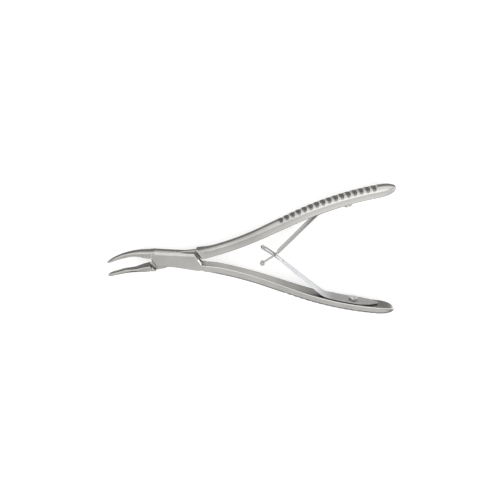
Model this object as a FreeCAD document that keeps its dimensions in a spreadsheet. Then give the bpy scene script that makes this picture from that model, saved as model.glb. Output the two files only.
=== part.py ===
import FreeCAD, Part

import math
import os

import Sketcher

# Box-lock bone rongeur lying on its side, in millimetres and degrees.
# The origin is on the joint's axis, on the underside of the lock. +X runs towards the handles and
# +Y towards the handle of the male half. The jaws stand open, as the springs hold them.

DOC = FreeCAD.newDocument("bone_rongeur")
SHEET = DOC.addObject("Spreadsheet::Sheet", "Sizes")

SIZES = {
    "jaw_swing": 11.0,
    "lock_thickness": 5.8,
    "lock_top": 3.8,
    "lock_top_slope": 6.5,
    "lock_bottom": 3.25,
    "lock_bottom_slope": 7.5,
    "lock_bevel": 0.9,
    "edge_bevel": 0.45,
    "cheek_left": 10.0,
    "cheek_right": 11.4,
    "cheek_slant": 59.0,
    "slot_gap": 2.1,
    "slot_clearance": 0.42,
    "slot_top_end": 2.0,
    "slot_bottom_end": 1.6,
    "tenon_play": 0.05,
    "tenon_left": 10.6,
    "tenon_rise": 3.4,
    "tenon_depth": 3.0,
    "shoulder_gap": 1.85,
    "jaw_shoulder": 13.95,
    "jaw_shoulder_slant": 45.0,
    "pin_radius": 1.6,
    "pin_seat": 0.01,
    "pin_play": 0.04,
    "neck_width": 5.8,
    "root_crown": 0.35,
    "neck_crown": 1.4,
    "grip_width": 9.0,
    "grip_crown": 2.2,
    "handle_thickness": 4.4,
    "handle_root": 12.0,
    "handle_splay": 24.0,
    "handle_straight": 15.3,
    "grip_radius": 155.0,
    "handle_end_length": 8.0,
    "handle_end_nose": 0.9,
    "handle_side_length": 10.0,
    "handle_side_nose": 2.2,
    "inner_round": 0.35,
    "male_root_side": 1.9,
    "male_root_slope": 10.0,
    "male_first_radius": 133.0,
    "male_end_slope": 4.8,
    "female_root_side": 4.6,
    "female_root_slope": 13.0,
    "female_first_radius": 170.0,
    "female_end_slope": 6.3,
    "female_root_thickness": 3.0,
    "upper_jaw_reach": 9.5,
    "upper_jaw_side": 3.5,
    "upper_jaw_slope": 4.5,
    "upper_jaw_straight": 6.0,
    "upper_jaw_radius": 28.0,
    "upper_jaw_turn": 34.5,
    "lower_jaw_reach": 10.0,
    "lower_jaw_side": 3.5,
    "lower_jaw_slope": 3.0,
    "lower_jaw_straight": 5.5,
    "lower_jaw_radius": 68.8,
    "lower_jaw_turn": 14.0,
    "jaw_root_thickness": 3.0,
    "jaw_tip_thickness": 1.7,
    "jaw_root_width": 5.7,
    "jaw_tip_width": 2.9,
    "jaw_root_crown": 1.4,
    "jaw_tip_crown": 0.85,
    "jaw_root_round": 0.9,
    "jaw_tip_round": 0.3,
    "jaw_end_length": 3.0,
    "jaw_end_nose": 0.45,
    "jaw_side_length": 4.0,
    "jaw_side_nose": 0.9,
    "cup_from_tip": 4.8,
    "cup_length": 7.4,
    "cup_width": 2.2,
    "cup_depth": 0.8,
    "groove_width": 2.7,
    "groove_floor": 0.7,
    "groove_depth": 1.15,
    "groove_pitch": 3.1,
    "spring_thickness": 0.7,
    "spring_width": 5.6,
    "spring_seat": 0.1,
    "spring_root_slope": 19.0,
    "spring_tail_slope": 9.3,
    "spring_bend": 26.3,
    "spring_bend_radius": 5.0,
    "spring_to_shoulder": 29.0,
    "foot_taper": 11.0,
    "foot_end_width": 1.2,
    "shoulder_width": 3.6,
    "tongue_width": 1.5,
    "tongue_straight": 3.0,
    "tongue_turn": 16.0,
    "tongue_radius": 14.0,
    "ball_radius": 1.2,
    "slot_width": 2.1,
    "slot_start": 26.0,
    "slot_end": 36.0,
    "slotted_width": 4.6,
    "slotted_turn": 10.0,
    "slotted_radius": 36.0,
    "screw_slope": 13.8,
    "screw_radius": 1.0,
    "screw_play": 0.02,
    "screw_depth": 3.0,
    "head_radius": 2.1,
    "head_height": 1.3,
    "head_play": 0.02,
    "head_bevel": 0.25,
    "driver_slot_width": 0.6,
    "driver_slot_depth": 0.55,
}
GROOVES = 16


class Size:
    """A length or an angle that knows its value and the cell formula that gives it."""

    def __init__(self, value, text):
        self.value = value
        self.text = text

    def joined(self, other, sign, result):
        return Size(result, "(%s %s %s)" % (self.text, sign, other.text))

    def __add__(self, other):
        other = as_size(other)
        return self.joined(other, "+", self.value + other.value)

    def __sub__(self, other):
        other = as_size(other)
        return self.joined(other, "-", self.value - other.value)

    def __mul__(self, other):
        other = as_size(other)
        return self.joined(other, "*", self.value * other.value)

    def __truediv__(self, other):
        other = as_size(other)
        return self.joined(other, "/", self.value / other.value)

    def __rsub__(self, other):
        return as_size(other) - self

    def __neg__(self):
        return Size(-self.value, "(0 - %s)" % self.text)

    __radd__ = __add__
    __rmul__ = __mul__


def as_size(number):
    return number if isinstance(number, Size) else Size(float(number), repr(float(number)))


def sine(angle):
    return Size(math.sin(math.radians(angle.value)), "sin(%s)" % angle.text)


def cosine(angle):
    return Size(math.cos(math.radians(angle.value)), "cos(%s)" % angle.text)


def square_root(number):
    return Size(math.sqrt(number.value), "sqrt(%s)" % number.text)


def fill_sheet():
    for row, (name, number) in enumerate(SIZES.items(), start=1):
        SHEET.set("A%d" % row, name)
        SHEET.set("B%d" % row, str(number))
        SHEET.setAlias("B%d" % row, name)
    DOC.recompute()


def size(name):
    return Size(SIZES[name], "Sizes.%s" % name)


MID_HEIGHT = size("lock_thickness") / 2
DEGREES_PER_RADIAN = Size(180 / math.pi, "(180 / pi)")


def new_body(label):
    body = DOC.addObject("PartDesign::Body", label)
    body.Label = label
    body.setExpression(".Placement.Base.z", MID_HEIGHT.text)
    return body


def plane_of(body, role):
    return [item for item in body.Origin.OriginFeatures if item.Role == role][0]


def attached_sketch(body, name, role, place=(0, 0, 0), turn_axis=(0, 0, 1), turn=0):
    """A sketch on an origin plane, moved by place and turned about one of its own axes."""
    sketch = body.newObject("Sketcher::SketchObject", name)
    sketch.AttachmentSupport = (plane_of(body, role), "")
    sketch.MapMode = "FlatFace"
    place = [as_size(part) for part in place]
    turn = as_size(turn)
    rotation = FreeCAD.Rotation(FreeCAD.Vector(*turn_axis), turn.value)
    sketch.AttachmentOffset = FreeCAD.Placement(
        FreeCAD.Vector(*[part.value for part in place]), rotation
    )
    for axis, part in zip("xyz", place):
        sketch.setExpression(".AttachmentOffset.Base.%s" % axis, part.text)
    sketch.setExpression(".AttachmentOffset.Rotation.Angle", turn.text)
    return sketch


def bind(sketch, constraint, measure):
    index = sketch.addConstraint(constraint)
    sketch.setExpression("Constraints[%d]" % index, measure.text)


def pin_point(sketch, element, end, point):
    """Holds one end of a line or an arc at a point measured from the sketch's origin."""
    x_size, y_size = point
    bind(sketch, Sketcher.Constraint("DistanceX", -1, 1, element, end, x_size.value), x_size)
    bind(sketch, Sketcher.Constraint("DistanceY", -1, 1, element, end, y_size.value), y_size)


def arc_of(start, end, radius, left_turn):
    """The arc from start to end that bends to the left or to the right."""
    x_1, y_1 = start
    x_2, y_2 = end
    half = math.hypot(x_2 - x_1, y_2 - y_1) / 2
    rise = math.sqrt(max(radius * radius - half * half, 0.0))
    side = 1 if left_turn else -1
    centre_x = (x_1 + x_2) / 2 - side * rise * (y_2 - y_1) / (2 * half)
    centre_y = (y_1 + y_2) / 2 + side * rise * (x_2 - x_1) / (2 * half)
    first = math.atan2(y_1 - centre_y, x_1 - centre_x)
    last = math.atan2(y_2 - centre_y, x_2 - centre_x)
    if not left_turn:
        first, last = last, first
    if last < first:
        last += 2 * math.pi
    circle = Part.Circle(FreeCAD.Vector(centre_x, centre_y, 0), FreeCAD.Vector(0, 0, 1), radius)
    return Part.ArcOfCircle(circle, first, last)


def chain(sketch, points, arcs=None, closed=True):
    """Lines and arcs through points. arcs maps a point's number to the radius of the arc that
    leaves it and whether that arc bends to the left. A radius of None is a half circle, whose
    chord runs along the sketch's Y axis."""
    arcs = arcs or {}
    points = [(as_size(x_size), as_size(y_size)) for x_size, y_size in points]
    count = len(points) if closed else len(points) - 1
    for number in range(count):
        start = points[number]
        end = points[(number + 1) % len(points)]
        flat_start = (start[0].value, start[1].value)
        flat_end = (end[0].value, end[1].value)
        if number in arcs:
            radius, left_turn = arcs[number]
            chord = math.hypot(flat_end[0] - flat_start[0], flat_end[1] - flat_start[1])
            half_round = radius is None
            radius = as_size(chord / 2 if half_round else radius)
            shape = arc_of(flat_start, flat_end, radius.value, left_turn)
            element = sketch.addGeometry(shape)
            first, last = (1, 2) if left_turn else (2, 1)
            if half_round:
                middle = (start[0] + end[0]) / 2
                bind(
                    sketch, Sketcher.Constraint("DistanceX", -1, 1, element, 3, middle.value), middle
                )
            else:
                bind(sketch, Sketcher.Constraint("Radius", element, radius.value), radius)
        else:
            shape = Part.LineSegment(FreeCAD.Vector(*flat_start, 0), FreeCAD.Vector(*flat_end, 0))
            element = sketch.addGeometry(shape)
            first, last = 1, 2
        pin_point(sketch, element, first, start)
        pin_point(sketch, element, last, end)


def circle_at(sketch, point, radius):
    x_size, y_size, radius = [as_size(part) for part in (*point, radius)]
    centre = FreeCAD.Vector(x_size.value, y_size.value, 0)
    element = sketch.addGeometry(Part.Circle(centre, FreeCAD.Vector(0, 0, 1), radius.value))
    bind(sketch, Sketcher.Constraint("Radius", element, radius.value), radius)
    pin_point(sketch, element, 3, (x_size, y_size))


def pad(body, name, sketch, length, both_sides=True, reverse=False):
    feature = body.newObject("PartDesign::Pad", name)
    feature.Profile = sketch
    if both_sides:
        feature.SideType = "Symmetric"
    feature.Reversed = reverse
    feature.setExpression("Length", as_size(length).text)
    return feature


def pocket(body, name, sketch, length, both_sides=True, reverse=False, flare=False):
    """Cuts a sketch out of the body, with walls that may flare out by 45 degrees, and makes sure
    that it took material away."""
    DOC.recompute()
    before = body.Shape.Volume
    feature = body.newObject("PartDesign::Pocket", name)
    feature.Profile = sketch
    if both_sides:
        feature.SideType = "Symmetric"
    if flare:
        feature.TaperAngle = 45
    feature.Reversed = reverse
    feature.setExpression("Length", as_size(length).text)
    DOC.recompute()
    if body.Shape.Volume >= before - 1e-6:
        raise RuntimeError("%s cuts nothing" % name)
    return feature


def section(body, name, place, slope, thickness, width, crown, inner_round, outer_side):
    """A limb's cross-section, square to the limb: flat with small corners on the inner side and
    crowned on the outer side, which outer_side puts at + or - across the limb."""
    x_place, y_place = place
    sketch = attached_sketch(body, name, "YZ_Plane", (y_place, 0, x_place), (0, 1, 0), slope)
    half = thickness / 2
    side = width / 2
    inner = -half * outer_side
    flank = (half - crown) * outer_side
    corner = inner + inner_round * outer_side
    crown_radius = (side * side + crown * crown) / (crown * 2)
    turns_left = outer_side > 0
    points = [
        (inner, inner_round - side),
        (corner, -side),
        (flank, -side),
        (flank, side),
        (corner, side),
        (inner, side - inner_round),
    ]
    small = (inner_round, turns_left)
    chain(sketch, points, {0: small, 2: (crown_radius, turns_left), 4: small})
    return sketch


def loft(body, name, sections):
    feature = body.newObject("PartDesign::AdditiveLoft", name)
    feature.Profile = sections[0]
    feature.Sections = sections[1:]
    feature.Ruled = False
    DOC.recompute()
    return feature


def bend(start, slope_from, slope_to, radius):
    """End of an arc that starts at a point with one slope and leaves with another."""
    x_size, y_size = start
    turn = 1 if slope_to.value > slope_from.value else -1
    x_end = x_size + (sine(slope_to) - sine(slope_from)) * radius * turn
    y_end = y_size + (cosine(slope_from) - cosine(slope_to)) * radius * turn
    return x_end, y_end


def between(first, last, share):
    return first + (last - first) * share


class Handle:
    """Centre line of one handle: an arc that splays it, a straight stretch and the grip's arc.
    side is +1 for the half whose handle lies at +Y and -1 for the other."""

    def __init__(self, half, side):
        self.side = side
        self.root = (size("handle_root"), size(half + "_root_side"))
        self.root_slope = size(half + "_root_slope")
        self.splay = size("handle_splay")
        self.first_radius = size(half + "_first_radius")
        self.end_slope = size(half + "_end_slope")
        self.grip_radius = size("grip_radius")
        straight = size("handle_straight")
        self.elbow = bend(self.root, self.root_slope, self.splay, self.first_radius)
        self.grip = (
            self.elbow[0] + cosine(self.splay) * straight,
            self.elbow[1] + sine(self.splay) * straight,
        )

    def on_first_bend(self, share):
        slope = between(self.root_slope, self.splay, share)
        return bend(self.root, self.root_slope, slope, self.first_radius), slope

    def on_grip(self, slope, offset=0):
        """A point of the grip at a slope, offset from the centre line towards the outside."""
        x_size, y_size = bend(self.grip, self.splay, slope, self.grip_radius)
        offset = as_size(offset)
        return x_size - sine(slope) * offset, y_size + cosine(slope) * offset

    def beside_grip(self, slope, along, offset):
        """A point of the grip shifted along its direction at that slope."""
        x_size, y_size = self.on_grip(slope, offset)
        return x_size + cosine(slope) * along, y_size + sine(slope) * along

    def at_root(self, share, offset):
        """A point near the root, offset from the centre line towards the outside."""
        (x_size, y_size), slope = self.on_first_bend(share)
        return x_size - sine(slope) * offset, y_size + cosine(slope) * offset

    def placed(self, point):
        return point[0], point[1] * self.side

    def inner_face(self):
        return -size("handle_thickness") / 2


def width_at(reach):
    """The share of the way from the neck's width to the grip's at a distance from the joint."""
    share = min(max((reach - 25.0) / 55.0, 0.0), 1.0)
    return share * share * (3 - 2 * share)


def add_handle(body, handle, root_thickness):
    """A handle from the lock to its rounded end."""
    thickness = size("handle_thickness")
    stations = []
    for share, part in ((0, 0), (0.35, 1), (0.7, 1), (1.0, 1)):
        point, slope = handle.on_first_bend(share)
        stations.append((point, slope, between(root_thickness, thickness, part)))
    stations.append((handle.grip, handle.splay, thickness))
    for share in (0.25, 0.5, 0.75, 1.0):
        slope = between(handle.splay, handle.end_slope, share)
        stations.append((handle.on_grip(slope), slope, thickness))
    sections = []
    for number, (point, slope, deep) in enumerate(stations):
        share = width_at(point[0].value)
        crown = between(size("neck_crown"), size("grip_crown"), share)
        if number == 0:
            crown = size("root_crown")
        sections.append(
            section(
                body,
                "HandleSection%d" % number,
                handle.placed(point),
                slope * handle.side,
                deep,
                between(size("neck_width"), size("grip_width"), share),
                crown,
                size("inner_round"),
                handle.side,
            )
        )
    loft(body, "Handle", sections)
    end = handle.placed(handle.on_grip(handle.end_slope))
    round_end(body, "Handle", end, handle.end_slope * handle.side, thickness, size("grip_width"))


def grip_grooves(body, handle):
    """Cross grooves with slanted walls over the crowned outer face of the grip."""
    sketch = attached_sketch(body, "GripGrooveSketch", "XY_Plane")
    crest = size("handle_thickness") / 2
    floor = crest - size("groove_depth")
    above = crest + size("groove_depth")
    flare = size("groove_width") - size("groove_floor")
    half_floor = size("groove_floor") / 2
    half_above = half_floor + flare
    step = size("groove_pitch") * DEGREES_PER_RADIAN / handle.grip_radius
    for number in range(GROOVES):
        slope = handle.splay + step * 1.5 - step * number
        chain(
            sketch,
            [
                handle.placed(handle.beside_grip(slope, half_above, above)),
                handle.placed(handle.beside_grip(slope, half_floor, floor)),
                handle.placed(handle.beside_grip(slope, -half_floor, floor)),
                handle.placed(handle.beside_grip(slope, -half_above, above)),
            ],
        )
    pocket(body, "GripGrooves", sketch, size("grip_width") * 2)


def add_jaw(body, jaw, side, bend_way):
    """A jaw from the lock to its rounded, cupped tip. It runs towards -X, on the +Y or -Y side,
    and bends towards the middle line (1) or away from it (-1)."""
    slope = size(jaw + "_slope")
    radius = size(jaw + "_radius")
    turn = size(jaw + "_turn")
    straight = size(jaw + "_straight")
    reach = size(jaw + "_reach")
    height = size(jaw + "_side")
    knee = (reach + cosine(slope) * straight, height + sine(slope) * straight)
    stations = [((reach, height), slope, as_size(0)), (knee, slope, as_size(0.25))]
    for part in (0.33, 0.67, 1.0):
        turned = slope - turn * (part * bend_way)
        stations.append((bend(knee, slope, turned, radius), turned, as_size(0.25 + 0.75 * part)))
    sections = []
    for number, (point, turned, share) in enumerate(stations):
        sections.append(
            section(
                body,
                "JawSection%d" % number,
                (-point[0], point[1] * side),
                -turned * side,
                between(size("jaw_root_thickness"), size("jaw_tip_thickness"), share),
                between(size("jaw_root_width"), size("jaw_tip_width"), share),
                between(size("jaw_root_crown"), size("jaw_tip_crown"), share),
                between(size("jaw_root_round"), size("jaw_tip_round"), share),
                side,
            )
        )
    loft(body, "Jaw", sections)
    tip = (-point[0], point[1] * side)
    heading = 180 - turned * side
    round_end(body, "Jaw", tip, heading, size("jaw_tip_thickness"), size("jaw_tip_width"))
    back = size("cup_from_tip") * DEGREES_PER_RADIAN / radius * bend_way
    at_cup = turned + back
    share = as_size(1) - size("cup_from_tip") * DEGREES_PER_RADIAN / (radius * turn) * 0.75
    thickness = between(size("jaw_root_thickness"), size("jaw_tip_thickness"), share)
    x_cup, y_cup = bend(knee, slope, at_cup, radius)
    cup(body, x_cup, y_cup, at_cup, thickness / 2, side)


def cup(body, x_cup, y_cup, slope, to_face, side):
    """The hollow in a jaw's biting face: a spindle turned about a line just off that face."""
    depth = size("cup_depth")
    width = size("cup_width")
    length = size("cup_length")
    cross_radius = (width * width / 4 + depth * depth) / (depth * 2)
    long_radius = (length * length / 4 + depth * depth) / (depth * 2)
    off_face = to_face + cross_radius - depth
    drop = long_radius - cross_radius
    half = square_root(long_radius * long_radius - drop * drop)
    place = (-(x_cup + sine(slope) * off_face), (y_cup - cosine(slope) * off_face) * side, 0)
    sketch = attached_sketch(body, "CupSketch", "XY_Plane", place, (0, 0, 1), -slope * side)
    chain(sketch, [(-half, 0), (half, 0)], {1: (long_radius, True)})
    DOC.recompute()
    before = body.Shape.Volume
    feature = body.newObject("PartDesign::Groove", "Cup")
    feature.Profile = sketch
    feature.ReferenceAxis = (sketch, ["H_Axis"])
    feature.Angle = 360
    DOC.recompute()
    if body.Shape.Volume >= before - 1e-6:
        raise RuntimeError("the cup cuts nothing")


def round_end(body, limb, place, heading, thickness, width):
    """Rounds a limb's end in the view from above and in the side view. Each outline narrows in a
    long arc and closes in a small one."""
    x_place, y_place = place
    above = attached_sketch(
        body, limb + "EndPlanSketch", "XY_Plane", (x_place, y_place, 0), (0, 0, 1), heading
    )
    beside = attached_sketch(
        body, limb + "EndSideSketch", "XZ_Plane", (x_place, 0, -y_place), (0, 1, 0), heading
    )
    prefix = limb.lower()
    views = (
        (above, "Plan", thickness / 2, prefix + "_end_length", prefix + "_end_nose"),
        (beside, "Side", width / 2, prefix + "_side_length", prefix + "_side_nose"),
    )
    for sketch, view, half, length_name, nose_name in views:
        length = size(length_name)
        nose = size(nose_name)
        from_nose = length - nose
        radius = (from_nose * from_nose + half * half - nose * nose) / ((half - nose) * 2)
        share = radius / (radius - nose)
        x_meet = from_nose * share - length
        y_meet = (radius - half) * (share - 1)
        points = [
            (-length, half),
            (x_meet, y_meet),
            (x_meet, -y_meet),
            (-length, -half),
            (-length, -half * 2),
            (1, -half * 2),
            (1, half * 2),
            (-length, half * 2),
        ]
        chain(sketch, points, {0: (radius, False), 1: (nose, False), 2: (radius, False)})
        pocket(body, limb + "End" + view, sketch, width * 3)


def bevel(body, name, base, outline, sides, depth):
    """Bevels the front and back edges that stand over some sides of a padded outline."""
    DOC.recompute()
    ends = [(point[0].value, point[1].value) for point in outline]
    half = MID_HEIGHT.value
    names = []
    for number, edge in enumerate(base.Shape.Edges, start=1):
        corners = [vertex.Point for vertex in edge.Vertexes]
        for side in sides:
            wanted = (ends[side], ends[(side + 1) % len(ends)])
            on_side = all(
                min(math.hypot(corner.x - x_end, corner.y - y_end) for corner in corners) < 1e-4
                for x_end, y_end in wanted
            )
            if on_side and all(abs(abs(corner.z) - half) < 1e-4 for corner in corners):
                names.append("Edge%d" % number)
    if len(names) != 2 * len(sides):
        raise RuntimeError("%s found %d edges" % (name, len(names)))
    feature = body.newObject("PartDesign::Chamfer", name)
    feature.Base = (base, names)
    feature.setExpression("Size", size(depth).text)
    return feature


def slanted(x_size, y_size, slant="cheek_slant"):
    """A point on a slanted line that crosses the X axis at x_size."""
    angle = size(slant)
    y_size = as_size(y_size)
    return x_size - cosine(angle) / sine(angle) * y_size, y_size


def slant_meets(x_size, height, slope):
    """Where a cheek's slanted edge meets a line that passes over the joint at a height and falls
    by a slope towards +X."""
    fall = sine(slope) / cosine(slope)
    slant = size("cheek_slant")
    lean = cosine(slant) / sine(slant)
    y_size = (height - fall * x_size) / (1 - fall * lean)
    return slanted(x_size, y_size)


def turned_about_joint(point, angle):
    x_size, y_size = [as_size(part) for part in point]
    return (
        x_size * cosine(angle) - y_size * sine(angle),
        x_size * sine(angle) + y_size * cosine(angle),
    )


def tenon_corner(name):
    """Corners of the tenon, which the slot in the box clears."""
    corners = {
        "upper_left": (-size("tenon_left"), as_size(-0.8)),
        "top": (as_size(1), size("tenon_rise")),
        "bottom": (as_size(-0.9), -size("tenon_depth")),
    }
    return corners[name]


def bore(body, name, radius):
    sketch = attached_sketch(body, name + "Sketch", "XY_Plane")
    circle_at(sketch, (0, 0), radius)
    pocket(body, name, sketch, size("lock_thickness") * 2)


def screw_hole(body, handle):
    """Blind hole from the inner face of the grip for the spring's screw."""
    slope = size("screw_slope")
    mouth = handle.placed(handle.on_grip(slope, handle.inner_face() - size("spring_seat")))
    turn = slope * handle.side
    sketch = attached_sketch(
        body, "ScrewHoleSketch", "XZ_Plane", (mouth[0], 0, -mouth[1]), (0, 1, 0), turn
    )
    circle_at(sketch, (0, 0), size("screw_radius") + size("screw_play"))
    depth = size("screw_depth") + size("spring_seat") * 2
    pocket(body, "ScrewHole", sketch, depth, both_sides=False, reverse=handle.side < 0)


def female_half(handle):
    """Upper jaw, box of the lock and lower handle in one piece."""
    body = new_body("female_half")
    left = -size("cheek_left")
    right = size("cheek_right")
    root = size("female_root_thickness")
    top = size("lock_top")
    bottom = -size("lock_bottom")
    jaw_half = size("jaw_root_thickness") / 2
    jaw_side = size("upper_jaw_side")
    jaw_reach = size("upper_jaw_reach")
    root_inner = handle.placed(handle.at_root(0.02, -root / 2))
    outline = [
        slanted(left, jaw_side - jaw_half - 0.1),
        slant_meets(left, bottom, size("lock_bottom_slope")),
        (as_size(0), bottom),
        handle.placed(handle.at_root(0, root / 2 - 0.05)),
        root_inner,
        slanted(right, root_inner[1] + 0.8),
        slant_meets(right, top, size("lock_top_slope")),
        (as_size(0), top),
        (-jaw_reach + 0.8, jaw_side + jaw_half - 0.1),
        (-jaw_reach - 1.1, jaw_side + jaw_half - 0.05),
    ]
    sketch = attached_sketch(body, "CheekOutline", "XY_Plane")
    chain(sketch, outline)
    cheeks = pad(body, "Cheeks", sketch, size("lock_thickness"))
    edge = bevel(body, "CheekEnds", cheeks, outline, (0, 5), "edge_bevel")
    bevel(body, "LockTop", edge, outline, (7,), "lock_bevel")
    add_handle(body, handle, root)
    add_jaw(body, "upper_jaw", 1, 1)
    slot = attached_sketch(body, "BoxSlotSketch", "XY_Plane")
    gap = size("slot_clearance")
    swing = -size("jaw_swing")
    upper_wall = turned_about_joint(tenon_corner("upper_left"), swing)
    lower_wall = turned_about_joint((size("handle_root") + 1.6, 0.3), swing)
    top_end = size("slot_top_end")
    bottom_end = -size("slot_bottom_end")
    far_left = left * 1.4
    far_right = right * 1.4
    high = top * 2
    low = bottom * 3
    chain(
        slot,
        [
            (far_left, upper_wall[1] - gap / 2),
            (upper_wall[0], upper_wall[1] + gap),
            (top_end, top - 0.1),
            (top_end, high),
            (far_right, high),
            (far_right, lower_wall[1]),
            (lower_wall[0], lower_wall[1] - gap),
            (bottom_end, bottom),
            (bottom_end, low),
            (far_left, low),
        ],
    )
    pocket(body, "BoxSlot", slot, size("slot_gap"))
    bore(body, "PinSeat", size("pin_radius") + size("pin_seat"))
    grip_grooves(body, handle)
    screw_hole(body, handle)
    return body


def male_half(handle):
    """Lower jaw, tenon of the lock and upper handle in one piece."""
    body = new_body("male_half")
    thickness = size("handle_thickness")
    jaw_half = size("jaw_root_thickness") / 2
    jaw_side = size("lower_jaw_side")
    jaw_reach = size("lower_jaw_reach")
    outline = [
        (-jaw_reach - 1.4, jaw_half - jaw_side + 0.1),
        tenon_corner("upper_left"),
        tenon_corner("top"),
        handle.placed(handle.at_root(0, thickness / 2 - 0.1)),
        handle.placed(handle.at_root(0.05, thickness / 2 - 0.1)),
        handle.placed(handle.at_root(0.05, 0.1 - thickness / 2)),
        tenon_corner("bottom"),
        (-jaw_reach / 2, -jaw_side - 0.9),
        (-jaw_reach - 0.5, -jaw_side - jaw_half),
    ]
    sketch = attached_sketch(body, "TenonOutline", "XY_Plane")
    chain(sketch, outline)
    pad(body, "LockBlock", sketch, size("lock_thickness"))
    add_handle(body, handle, thickness)
    add_jaw(body, "lower_jaw", -1, -1)
    tenon = size("slot_gap") / 2 - size("tenon_play")
    jaw_shoulder = -size("jaw_shoulder")
    shoulder = size("cheek_right") + size("shoulder_gap")
    high = size("lock_top") * 1.6
    low = -size("lock_bottom") * 2
    depth = size("edge_bevel")
    outline = [
        slanted(jaw_shoulder, as_size(1), "jaw_shoulder_slant"),
        slanted(jaw_shoulder, low, "jaw_shoulder_slant"),
        (shoulder / 2, low),
        slanted(shoulder, as_size(-0.6)),
        slanted(shoulder, high),
        (jaw_shoulder / 2, high),
    ]
    for name, out in (("Front", 1), ("Back", -1)):
        cut = attached_sketch(body, name + "ShoulderSketch", "XY_Plane", (0, 0, tenon * out))
        chain(cut, outline)
        length = size("lock_thickness")
        pocket(body, name + "Shoulders", cut, length, both_sides=False, reverse=out > 0)
        lift = (MID_HEIGHT - depth) * out
        edge = attached_sketch(body, name + "BevelSketch", "XY_Plane", (0, 0, lift))
        chain(edge, outline)
        pocket(
            body, name + "Bevel", edge, depth * 2, both_sides=False, reverse=out > 0, flare=True
        )
    bore(body, "PinBore", size("pin_radius") + size("pin_play"))
    grip_grooves(body, handle)
    screw_hole(body, handle)
    return body


def joint_pin():
    body = new_body("joint_pin")
    sketch = attached_sketch(body, "PinSketch", "XY_Plane")
    circle_at(sketch, (0, 0), size("pin_radius"))
    pad(body, "Pin", sketch, size("lock_thickness"))
    return body


def strip_profile(body, name, place, slope, thickness, width):
    x_place, y_place = place
    sketch = attached_sketch(body, name, "YZ_Plane", (y_place, 0, x_place), (0, 1, 0), slope)
    across = thickness / 2
    along = width / 2
    chain(sketch, [(-across, -along), (across, -along), (across, along), (-across, along)])
    return sketch


def pipe(body, name, profile, spine):
    feature = body.newObject("PartDesign::AdditivePipe", name)
    feature.Profile = profile
    feature.Spine = (spine, [])
    feature.Mode = "Frenet"
    DOC.recompute()
    return feature


def strip_offset(handle):
    """Distance of the spring strip's middle from the handle's centre line."""
    return handle.inner_face() - size("spring_seat") - size("spring_thickness") / 2


def spring_foot(label, handle):
    """The part of a leaf spring that is screwed along the inner face of its handle."""
    body = new_body(label)
    root_slope = size("spring_root_slope")
    tail_slope = size("spring_tail_slope")
    offset = strip_offset(handle)
    start = handle.placed(handle.on_grip(root_slope, offset))
    end = handle.placed(handle.on_grip(tail_slope, offset))
    spine = attached_sketch(body, "FootLine", "XY_Plane")
    arcs = {0: (handle.grip_radius + offset, handle.side < 0)}
    chain(spine, [start, end], arcs, closed=False)
    slope = root_slope * handle.side
    profile = strip_profile(
        body, "FootProfile", start, slope, size("spring_thickness"), size("spring_width")
    )
    pipe(body, "FootStrip", profile, spine)
    screw = handle.placed(handle.on_grip(size("screw_slope"), offset))
    turn = size("screw_slope") * handle.side
    hole = attached_sketch(
        body, "FootHoleSketch", "XZ_Plane", (screw[0], 0, -screw[1]), (0, 1, 0), turn
    )
    circle_at(hole, (0, 0), size("screw_radius") + size("screw_play"))
    pocket(body, "FootHole", hole, size("spring_thickness") * 4)
    half = size("spring_width") / 2
    end_half = size("foot_end_width") / 2
    taper = size("foot_taper")
    tail = attached_sketch(
        body, "FootTailSketch", "XZ_Plane", (end[0], 0, -end[1]), (0, 1, 0), tail_slope * handle.side
    )
    for sign in (1, -1):
        chain(
            tail,
            [
                (-taper, half * sign),
                (-taper / 4, between(end_half, half, 0.45) * sign),
                (0.3, end_half * sign),
                (0.3, half * 1.5 * sign),
                (-taper, half * 1.5 * sign),
            ],
        )
    pocket(body, "FootTail", tail, size("spring_thickness") * 8)
    return body


class Leaf:
    """Centre line of a spring's free leaf, from its root on the handle to its tip."""

    def __init__(self, handle):
        self.handle = handle
        self.slope = size("spring_root_slope")
        self.root = handle.on_grip(self.slope, strip_offset(handle))
        self.bend = size("spring_bend")
        self.direction = self.slope + self.bend
        bend_radius = size("spring_bend_radius")
        self.bend_end = self.beyond_root(
            sine(self.bend) * bend_radius, (1 - cosine(self.bend)) * bend_radius
        )

    def beyond_root(self, along, away):
        """A point given along the leaf's first direction and away from the handle."""
        x_size = self.root[0] - cosine(self.slope) * along + sine(self.slope) * away
        y_size = self.root[1] - sine(self.slope) * along - cosine(self.slope) * away
        return x_size, y_size

    def on_straight(self, length):
        x_size = self.bend_end[0] - cosine(self.direction) * length
        y_size = self.bend_end[1] - sine(self.direction) * length
        return x_size, y_size

    def tip(self, length, turn, radius):
        """End of an arc that bends the tip back, after a straight stretch."""
        start = self.on_straight(length)
        last = self.direction - turn
        x_size = start[0] - (sine(self.direction) - sine(last)) * radius
        y_size = start[1] - (cosine(last) - cosine(self.direction)) * radius
        return x_size, y_size


def leaf_strip(body, leaf, straight, turn, radius, width):
    handle = leaf.handle
    knee = leaf.on_straight(straight)
    end = leaf.tip(straight, turn, radius)
    points = [handle.placed(part) for part in (leaf.root, leaf.bend_end, knee, end)]
    spine = attached_sketch(body, "LeafLine", "XY_Plane")
    arcs = {
        0: (size("spring_bend_radius"), handle.side > 0),
        2: (radius, handle.side < 0),
    }
    chain(spine, points, arcs, closed=False)
    slope = leaf.slope * handle.side
    profile = strip_profile(
        body, "LeafProfile", points[0], slope, size("spring_thickness"), width
    )
    pipe(body, "LeafStrip", profile, spine)
    return end


def face_sketch(body, name, leaf):
    """A sketch on the leaf's face: x runs from the end of its bend towards the root."""
    handle = leaf.handle
    place = handle.placed(leaf.bend_end)
    turn = leaf.direction * handle.side
    return attached_sketch(body, name, "XZ_Plane", (place[0], 0, -place[1]), (0, 1, 0), turn)


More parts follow.
